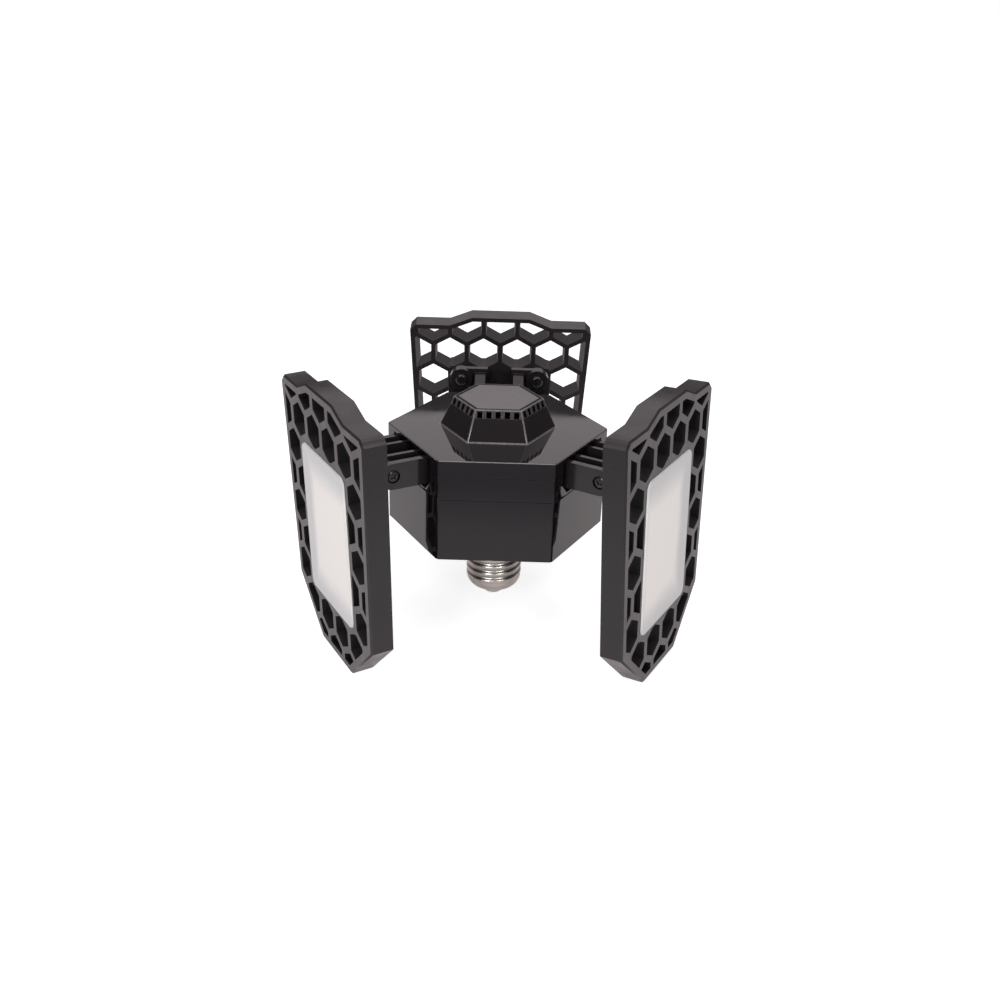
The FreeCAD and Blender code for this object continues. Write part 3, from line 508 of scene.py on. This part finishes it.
def paint_shade(material, mask_of, rough):
    """Painted shade: nearly black and matt where mask_of is 1, such as inside a pocket or along a
    groove.
    """
    graph = Graph(material)
    shader = graph.nodes["Principled BSDF"].inputs
    mask = mask_of(graph, graph.place())
    colour = shader["Base Color"].links[0].from_socket
    graph.put(graph.blend(mask, colour, PAINTED_SHADE_COLOUR), shader["Base Color"])
    mixed = graph.add("Mix")
    graph.put(mask, mixed.inputs[0])
    graph.put(shader["Roughness"].links[0].from_socket, mixed.inputs[2])
    graph.put(rough, mixed.inputs[3])
    graph.put(mixed.outputs[0], shader["Roughness"])
    return material


def painted_edge_highlight(material):
    """Painted highlight: paler along the dome's edges, foot, lip and vents and the hub's upper
    edge, where edges catch the light.
    """
    graph = Graph(material)
    shader = graph.nodes["Principled BSDF"].inputs
    place = graph.place()
    reach, along, height = hexagon(graph, place)
    past_edge = graph.calc("SUBTRACT", along, graph.product(reach, math.tan(math.pi / 6)))
    off_foot = graph.calc("ABSOLUTE", graph.calc("SUBTRACT", reach, DOME_FOOT_REACH))
    narrowing = graph.product(graph.calc("SUBTRACT", height, DOME_FOOT), DOME_SLOPE)
    edge_light = graph.largest(
        graph.product(
            graph.above(height, DOME_FOOT + TOP_FACE_SLACK), graph.fade(past_edge, *EDGE_HIGHLIGHT),
        ),
        graph.product(
            graph.fade(off_foot, *FOOT_HIGHLIGHT), graph.below(height, DOME_FOOT + FOOT_HIGHLIGHT_RISE),
            graph.above(height, DOME_FOOT - TOP_FACE_SLACK),
        ),
        graph.product(
            graph.above(height, DOME_FOOT - UPPER_HIGHLIGHT), graph.above(reach, HUB_REACH - UPPER_HIGHLIGHT),
        ),
        graph.product(graph.above(height, DOME_TOP - LIP_HIGHLIGHT), graph.above(reach, LIP_REACH)),
        graph.product(
            graph.above(height, VENT_BAND[0]), graph.below(height, VENT_BAND[1]),
            graph.above(graph.calc("ADD", reach, narrowing), DOME_FOOT_REACH - BAND_HIGHLIGHT_DEPTH),
            BAND_HIGHLIGHT,
        ),
    )
    uneven = graph.ramp(graph.noise(place, HIGHLIGHT_SCALE, HIGHLIGHT_DETAIL), HIGHLIGHT_LEAST, 1.0)
    colour = shader["Base Color"].links[0].from_socket
    edge_light = graph.product(edge_light, uneven)
    graph.put(graph.blend(edge_light, colour, HIGHLIGHT_COLOUR), shader["Base Color"])
    return material


def slot_materials():
    """One material for each material slot, apart from the opal sheets and the frames."""
    made = {slot: moulded(slot, *finish) for slot, finish in MOULDED.items()}
    made.update({slot: metal(slot, *finish) for slot, finish in METAL.items()})
    # Painted shade in the hub's pockets and vent groove and along the vent plate's edge, and
    # painted highlights along the hub's edges.
    painted_edge_highlight(paint_shade(made["hub_gloss"], in_pocket, HUB_SHADE_ROUGHNESS))
    paint_shade(made["vent_plate"], near_rim, HUB_SHADE_ROUGHNESS)
    return made


# -------------------------------------------------------------------- directions
def face_normal(side):
    """Direction out of the hub's face behind a panel."""
    turn = math.radians(SIDES[side])
    return Vector((math.cos(turn), math.sin(turn), 0.0))


def nearest_normal(point):
    """Direction out of the hub's face that is nearest to a point."""
    return max(map(face_normal, SIDES), key=lambda normal: normal.dot(point))


def along_hinge(point):
    """Direction along the nearest hinge axis, away from the middle of the bracket."""
    normal = nearest_normal(point)
    across = Vector((-normal.y, normal.x, 0.0))
    return across if across.dot(point) > 0 else -across


def downwards(point):
    """Direction down, whatever the point."""
    return Vector((0, 0, -1))


def panel_front(side):
    """Direction that the front of a panel faces at rest."""
    rise = math.radians(TILTS[side])
    return face_normal(side) * math.cos(rise) + Vector((0.0, 0.0, math.sin(rise)))


def panel_back(side):
    """Direction that the back of a panel faces at rest, as a function of any point."""
    back = -panel_front(side)
    return lambda point: back


# ------------------------------------------------------------------------ meshes
def new_piece(name, mesh, material, slot, body, *nodes):
    """A piece that stands for CAD nodes and rides on their body."""
    piece = bpy.data.objects.new(name, mesh)
    bpy.context.scene.collection.objects.link(piece)
    mesh.materials.clear()
    mesh.materials.append(material)
    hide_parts(*nodes)
    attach(piece, body)


def mesh_from(bm, name, sharp_angle=35.0):
    """Smooth-shaded mesh with sharp edges above an angle."""
    bmesh.ops.recalc_face_normals(bm, faces=bm.faces[:])
    mesh = bpy.data.meshes.new(name)
    bm.to_mesh(mesh)
    bm.free()
    mesh.shade_smooth()
    mesh.set_sharp_from_angle(angle=math.radians(sharp_angle))
    return mesh


def shade_smooth():
    """Modifier group that shades every face smooth."""
    group = bpy.data.node_groups.new("shade_smooth", "GeometryNodeTree")
    for way in ("INPUT", "OUTPUT"):
        group.interface.new_socket("Geometry", in_out=way, socket_type="NodeSocketGeometry")
    start = group.nodes.new("NodeGroupInput")
    smooth = group.nodes.new("GeometryNodeSetShadeSmooth")
    end = group.nodes.new("NodeGroupOutput")
    group.links.new(start.outputs[0], smooth.inputs["Geometry"])
    group.links.new(smooth.outputs["Geometry"], end.inputs[0])
    return group


def stitch(bm, rows):
    """Faces between closed rows of vertices; a row of one point repeated makes a fan."""
    for lower, upper in zip(rows, rows[1:]):
        for k in range(len(lower)):
            following = (k + 1) % len(lower)
            corners = (lower[k], lower[following], upper[following], upper[k])
            unique = list(dict.fromkeys(corners))
            if len(unique) > 2:
                bm.faces.new(unique)


def ring(bm, places):
    """Row of vertices round Z, from the radius and height at each even turn."""
    row = []
    for k, (radius, height) in enumerate(places):
        turn = math.tau * k / len(places)
        row.append(bm.verts.new((radius * math.cos(turn), radius * math.sin(turn), height)))
    return row


def lathe(bm, profile, segments):
    """Surface of revolution about Z; profile is (radius, height), from end to end."""
    rows = []
    for radius, height in profile:
        if radius == 0.0:
            rows.append([bm.verts.new((0.0, 0.0, height))] * segments)
        else:
            rows.append(ring(bm, [(radius, height)] * segments))
    stitch(bm, rows)
    bmesh.ops.remove_doubles(bm, verts=bm.verts[:], dist=LATHE_WELD)


def bowl_point(share, inward):
    """Point of the drawn-in bowl, from its mouth at share 0 to the shell's full width at 1."""
    turn = math.pi / 2 * share
    radius = BOWL_RADIUS + (THREAD_CREST - BOWL_RADIUS) * math.sin(turn)
    height = BOWL_END + BOWL_HEIGHT * (1 - math.cos(turn))
    return radius - inward * math.sin(turn), height + inward * math.cos(turn)


def thread_depth(height, turn):
    """Depth of the rolled thread: round crests and narrower grooves on a right-hand helix."""
    run_in = min(1.0, max(0.0, (height - THREAD_LOW) / THREAD_RUN_OUT))
    run_out = min(1.0, max(0.0, (SHELL_TOP - height - THREAD_LAND) / THREAD_RUN_OUT))
    phase = math.tau * (height - THREAD_GROOVE) / THREAD_PITCH - (turn + math.pi / 2)
    return THREAD_DEPTH * run_in * run_out * (0.5 + 0.5 * math.cos(phase)) ** GROOVE_SHARPNESS


def thread_shell():
    """Rolled shell with its thread and the bowl that holds the insulator."""
    bowl_top = BOWL_END + BOWL_HEIGHT
    rise = SHELL_TOP - BOWL_END - BOWL_HEIGHT
    outside = [bowl_point(k / BOWL_ROWS, 0.0) for k in range(BOWL_ROWS)]
    outside += [(THREAD_CREST, bowl_top + rise * k / THREAD_ROWS) for k in range(THREAD_ROWS + 1)]
    turns = [math.tau * k / CAP_SEGMENTS for k in range(CAP_SEGMENTS)]
    rings = [[(radius - thread_depth(height, turn), height) for turn in turns]
             for radius, height in outside]
    rings.append([(THREAD_CREST - THREAD_DEPTH - SHELL_WALL, SHELL_TOP)] * CAP_SEGMENTS)
    for share in BOWL_INSIDE:
        rings.append([bowl_point(share, SHELL_WALL + THREAD_DEPTH * share)] * CAP_SEGMENTS)
    bm = bmesh.new()
    rows = [ring(bm, places) for places in rings]
    stitch(bm, rows + rows[:1])
    return mesh_from(bm, "thread_shell", 50.0)


def neck():
    """Tapered neck with its spigot and flange; the edges that show are rounded."""
    soft = NECK_EDGE
    bm = bmesh.new()
    lathe(bm, [
        (LEAD_BORE, SPIGOT_END),
        (SPIGOT_RADIUS, SPIGOT_END),
        (SPIGOT_RADIUS, NECK_FOOT),
        (NECK_COLLAR_RADIUS - soft, NECK_FOOT),
        (NECK_COLLAR_RADIUS - 0.3 * soft, SHELL_TOP + 0.3 * soft),
        (NECK_COLLAR_RADIUS, SHELL_TOP + soft),
        (NECK_COLLAR_RADIUS, NECK_COLLAR_TOP - soft),
        (NECK_COLLAR_RADIUS + 0.4 * soft, NECK_COLLAR_TOP + soft),
        (NECK_TOP_RADIUS, HUB_BOTTOM),
        (NECK_TOP_RADIUS, HUB_FLOOR),
        (FLANGE_RADIUS, HUB_FLOOR),
        (FLANGE_RADIUS, FLANGE_TOP),
        (LEAD_BORE, FLANGE_TOP),
        (LEAD_BORE, SPIGOT_END),
    ], CAP_SEGMENTS)
    return mesh_from(bm, "neck", 30.0)


def bent_lead():
    """Lead down the neck, round one bend and out to the shell."""
    (x, top), (_, low), (end, _) = [(a * MM, b * MM) for a, b in LEAD_ROUTE]
    line = [(x, top, 0.0)]
    for k in range(BEND_STEPS + 1):
        turn = math.pi / 2 * k / BEND_STEPS
        reach = x + LEAD_BEND * (1 - math.cos(turn))
        line.append((reach, low + LEAD_BEND * (1 - math.sin(turn)), turn))
    line.append((end, low, math.pi / 2))
    bm = bmesh.new()
    rows = []
    for reach, height, turn in line:
        row = []
        for k in range(LEAD_SEGMENTS):
            angle = math.tau * k / LEAD_SEGMENTS
            out, side = LEAD_RADIUS * math.cos(angle), LEAD_RADIUS * math.sin(angle)
            place = (reach + out * math.cos(turn), side, height + out * math.sin(turn))
            row.append(bm.verts.new(place))
        rows.append(row)
    stitch(bm, rows)
    bm.faces.new(rows[0])
    bm.faces.new(rows[-1][::-1])
    return mesh_from(bm, "bent_lead", 40.0)


# ------------------------------------------------------------------------ screws
def cross_recess(head_radius, head_height):
    """Two crossed tapered bars that cut the recess of a screw head."""
    bm = bmesh.new()
    arm, half = head_radius * RECESS_ARM, head_radius * RECESS_WIDTH
    foot = head_height * (1 - RECESS_DEPTH)
    levels = ((head_height * RECESS_CLEAR, 1.0, 1.0), (foot, *RECESS_FOOT))
    for quarter in (0.0, math.pi / 2):
        corners = []
        for height, length, width in levels:
            for x, y in SQUARE:
                corners.append(bm.verts.new((x * arm * length, y * half * width, height)))
        for face in BOX_FACES:
            bm.faces.new([corners[k] for k in face])
        turned = Matrix.Rotation(quarter, 3, "Z")
        bmesh.ops.rotate(bm, verts=corners, cent=(0, 0, 0), matrix=turned)
    bmesh.ops.recalc_face_normals(bm, faces=bm.faces[:])
    mesh = bpy.data.meshes.new("recess")
    bm.to_mesh(mesh)
    bm.free()
    return mesh


def screw_template(head_radius, head_height, shaft_radius, shaft_length):
    """Pan head at the origin, rising along +Z, with a cross recess; its shaft runs along -Z."""
    crown = head_height * CROWN
    profile = [(0.0, -shaft_length), (shaft_radius, -shaft_length)]
    profile += [(shaft_radius, 0.0), (head_radius, 0.0)]
    for k in range(CROWN_STEPS + 1):
        angle = math.pi / 2 * k / CROWN_STEPS
        height = head_height - crown + crown * math.sin(angle) * CROWN_FLATNESS
        profile.append((head_radius - crown * (1 - math.cos(angle)), height))
    profile.append((0.0, head_height))
    bm = bmesh.new()
    lathe(bm, profile, SCREW_SEGMENTS)
    screw = bpy.data.objects.new("screw_body", mesh_from(bm, "screw_body"))
    cutter = bpy.data.objects.new("recess", cross_recess(head_radius, head_height))
    for obj in (screw, cutter):
        bpy.context.scene.collection.objects.link(obj)
    cut = screw.modifiers.new("recess", "BOOLEAN")
    cut.operation = "DIFFERENCE"
    cut.solver = "EXACT"
    cut.use_self = True
    cut.object = cutter
    evaluated = screw.evaluated_get(bpy.context.evaluated_depsgraph_get())
    result = bpy.data.meshes.new_from_object(evaluated)
    for obj in (screw, cutter):
        bpy.data.objects.remove(obj)
    return result


def islands(node):
    """Points of each separate shell of a CAD node, such as of each screw in a group."""
    bm = bmesh.new()
    bm.from_mesh(frame["nodes"][node].data)
    bmesh.ops.remove_doubles(bm, verts=bm.verts[:], dist=SHELL_WELD)
    groups = []
    seen = set()
    for vertex in bm.verts:
        if vertex in seen:
            continue
        stack = [vertex]
        seen.add(vertex)
        group = []
        while stack:
            current = stack.pop()
            group.append(current.co.copy())
            for edge in current.link_edges:
                other = edge.other_vert(current)
                if other not in seen:
                    seen.add(other)
                    stack.append(other)
        groups.append(group)
    bm.free()
    return groups


def screw_places(node, outward_of, head_height, turns):
    """Seat, direction and turn of each screw of a node; outward_of gives its head's direction."""
    places = []
    for k, group in enumerate(islands(node)):
        low = Vector([min(point[axis] for point in group) for axis in range(3)])
        high = Vector([max(point[axis] for point in group) for axis in range(3)])
        outward = outward_of((low + high) / 2)
        reaches = [point.dot(outward) for point in group]
        tip = max(reaches)
        top = [point for point, reach in zip(group, reaches) if reach > tip - HEAD_FLAT]
        middle = sum(top, Vector()) / len(top)
        middle += outward * (tip - middle.dot(outward) - head_height)
        places.append((middle, outward, turns[k % len(turns)]))
    return places


def screws(name, node, body, outward_of, sizes, turns):
    """One piece with a detailed screw for each plain one of a node; sizes in millimetres."""
    sizes = [size * MM for size in sizes]
    template = screw_template(*sizes)
    bm = bmesh.new()
    for seat, outward, turn in screw_places(node, outward_of, sizes[1], turns):
        start = len(bm.verts)
        bm.from_mesh(template)
        bm.verts.ensure_lookup_table()
        rotation = Vector((0, 0, 1)).rotation_difference(outward).to_matrix().to_4x4()
        turned = Matrix.Rotation(math.radians(turn), 4, "Z")
        matrix = Matrix.Translation(seat) @ rotation @ turned
        bmesh.ops.transform(bm, matrix=matrix, verts=bm.verts[start:])
    new_piece(name, mesh_from(bm, name), materials["black_screw"], "black_screw", body, node)


# ------------------------------------------------------------------------ studio
def away_from_target(azimuth, elevation):
    """Direction from the target; azimuth is from the front, positive to the right."""
    turn, rise = math.radians(azimuth), math.radians(elevation)
    level = math.cos(rise)
    return Vector((math.sin(turn) * level, -math.cos(turn) * level, math.sin(rise)))


def camera():
    """Camera of the photograph, with its roll."""
    back = away_from_target(CAMERA_AZIMUTH, CAMERA_ELEVATION)
    right = (-back).cross(Vector((0, 0, 1))).normalized()
    up = right.cross(-back)
    roll = math.radians(CAMERA_ROLL)
    x = right * math.cos(roll) + up * math.sin(roll)
    y = up * math.cos(roll) - right * math.sin(roll)
    data = bpy.data.cameras.new("camera")
    data.lens = CAMERA_LENS
    data.sensor_width = SENSOR
    data.clip_start = CLIP_START
    data.clip_end = CLIP_END
    obj = bpy.data.objects.new("camera", data)
    place = CAMERA_TARGET + back * CAMERA_DISTANCE
    obj.matrix_world = Matrix((
        (x.x, y.x, back.x, place.x),
        (x.y, y.y, back.y, place.y),
        (x.z, y.z, back.z, place.z),
        (0, 0, 0, 1),
    ))
    bpy.context.scene.collection.objects.link(obj)
    bpy.context.scene.camera = obj


def world():
    """White studio: even light for diffuse surfaces, walls of different tone for glossy ones."""
    backdrop = bpy.data.worlds.new("studio")
    graph = Graph(backdrop)
    background = graph.nodes["Background"].inputs
    glossy, plain, colour = graph.rays(WALL_TINT)
    graph.put(colour, background["Color"])
    _, y, z = graph.axes(graph.add("TexCoord").outputs["Generated"])
    wall = graph.largest(
        graph.product(graph.fade(y, *BACK_EDGE), WALL_BACK, graph.fade(z, *BACK_FOOT)),
        graph.product(graph.fade(z, *ABOVE_EDGE), WALL_ABOVE),
        graph.product(graph.fade(y, *FRONT_EDGE), WALL_FRONT),
        WALL_SIDE,
    )
    light = graph.product(glossy, graph.calc("SUBTRACT", wall, AMBIENT))
    strength = graph.largest(plain, graph.calc("ADD", light, AMBIENT))
    graph.put(strength, background["Strength"])
    bpy.context.scene.world = backdrop


def floor():
    """Pale floor: white to the camera; glossy surfaces see it darker further in front."""
    bm = bmesh.new()
    height = cad_box[0][2]
    bm.faces.new([bm.verts.new((x * FLOOR_HALF, y * FLOOR_HALF, height)) for x, y in SQUARE])
    mesh = bpy.data.meshes.new("floor")
    bm.to_mesh(mesh)
    bm.free()
    obj = bpy.data.objects.new("floor", mesh)
    bpy.context.scene.collection.objects.link(obj)
    material, graph, _ = new_material("floor")
    graph.nodes.remove(graph.nodes["Principled BSDF"])
    diffuse, lift, total = graph.add("BsdfDiffuse"), graph.add("Emission"), graph.add("AddShader")
    glossy, plain, colour = graph.rays(FLOOR_TINT)
    _, y, _ = graph.axes(graph.place())
    near = graph.product(graph.fade(y, *TABLE_NEAR), FLOOR_GLOSS, glossy)
    far = graph.product(graph.fade(y, *TABLE_FAR), FLOOR_DARK, glossy)
    graph.put(graph.calc("SUBTRACT", FLOOR_COLOUR, far), diffuse.inputs["Color"])
    graph.put(colour, lift.inputs["Color"])
    graph.put(graph.largest(graph.product(plain, FLOOR_LIFT), near), lift.inputs["Strength"])
    graph.put(diffuse.outputs["BSDF"], total.inputs[0])
    graph.put(lift.outputs["Emission"], total.inputs[1])
    graph.put(total.outputs["Shader"], graph.nodes["Material Output"].inputs["Surface"])
    mesh.materials.append(material)


def lamp(name, azimuth, elevation, distance, size, power):
    """Square soft box that faces the hub."""
    data = bpy.data.lights.new(name, "AREA")
    data.shape = "SQUARE"
    data.size = size
    data.energy = power
    obj = bpy.data.objects.new(name, data)
    away = away_from_target(azimuth, elevation)
    obj.location = CAMERA_TARGET + away * distance
    obj.rotation_euler = away.to_track_quat("Z", "Y").to_euler()
    obj.visible_camera = False
    bpy.context.scene.collection.objects.link(obj)


def soften(obj, width, smoothing):
    """Rounded edges and even shading, by modifiers over the node's own mesh."""
    weld = obj.modifiers.new("weld", "WELD")
    weld.merge_threshold = WELD_DISTANCE
    flat = obj.modifiers.new("flat", "DECIMATE")
    flat.decimate_type = "DISSOLVE"
    flat.angle_limit = math.radians(FLAT_ANGLE)
    soft = obj.modifiers.new("soft_edge", "BEVEL")
    soft.width = width
    soft.segments = 2
    soft.limit_method = "ANGLE"
    soft.angle_limit = math.radians(EDGE_ANGLE)
    soft.use_clamp_overlap = True
    smooth = obj.modifiers.new("smooth", "NODES")
    smooth.node_group = smoothing
    weighted = obj.modifiers.new("weighted", "WEIGHTED_NORMAL")
    weighted.mode = "FACE_AREA"
    weighted.weight = 100


# ------------------------------------------------------------------------- scene
bpy.context.scene.view_settings.view_transform = "Standard"
camera()
world()
floor()
for name, settings in LAMPS.items():
    lamp(name, *settings)

materials = slot_materials()
for part in frame["record"]["subparts"]:
    node, slot = part["node"], part["material_slot"]
    side = node.rsplit("_", 1)[-1]
    if slot == "opal":
        material = opal(side)
    elif slot == "frame_black":
        black = moulded("frame_black_" + side, *FRAME_BLACK)
        # Painted shade, nearly black, on the honeycomb's inner walls.
        material = paint_shade(black, cell_walls(side), CELL_SHADE_ROUGHNESS)
    else:
        material = materials[slot]
    mesh = frame["nodes"][node].data
    mesh.materials.clear()
    mesh.materials.append(material)

# The photograph's hub shows no reflection of the panel behind it.
frame["nodes"]["panel_frame_back"].visible_glossy = False

for side in SIDES:
    for node in ("hinge_bracket_", "panel_frame_", "hinge_plate_"):
        SOFT_EDGES[node + side] = PANEL_EDGE
smoothing = shade_smooth()
for node, width in SOFT_EDGES.items():
    soften(frame["nodes"][node], width * MM, smoothing)

new_piece("screw_cap_thread", thread_shell(), materials["nickel"], "nickel", "hub", "screw_shell")
new_piece("tapered_neck", neck(), materials["hub_gloss"], "hub_gloss", "hub", "cap_neck")
new_piece("bent_shell_lead", bent_lead(), materials["lead_wire"], "lead_wire", "hub", "shell_lead")

# Radius and height of the head, radius and length of the shaft, in millimetres, and
# turns of the recesses in degrees.
screws("pivot_cross_screws", "pivot_screws", "hub", along_hinge,
       (2.7, 1.6, 1.5, 9.4), (20.0, 65.0, 40.0, 5.0))
screws("bracket_cross_screws", "bracket_screws", "hub", nearest_normal,
       (2.2, 1.4, 1.25, 4.0), (10.0, 50.0, 75.0))
screws("housing_cross_screws", "housing_screws", "hub", downwards,
       (2.8, 2.0, 1.5, 42.0), (15.0, 70.0, 35.0))
for side in SIDES:
    screws("plate_cross_screws_" + side, "plate_screws_" + side, side + "_panel", panel_back(side),
           (3.0, 1.7, 1.5, 8.3), (25.0, 60.0))
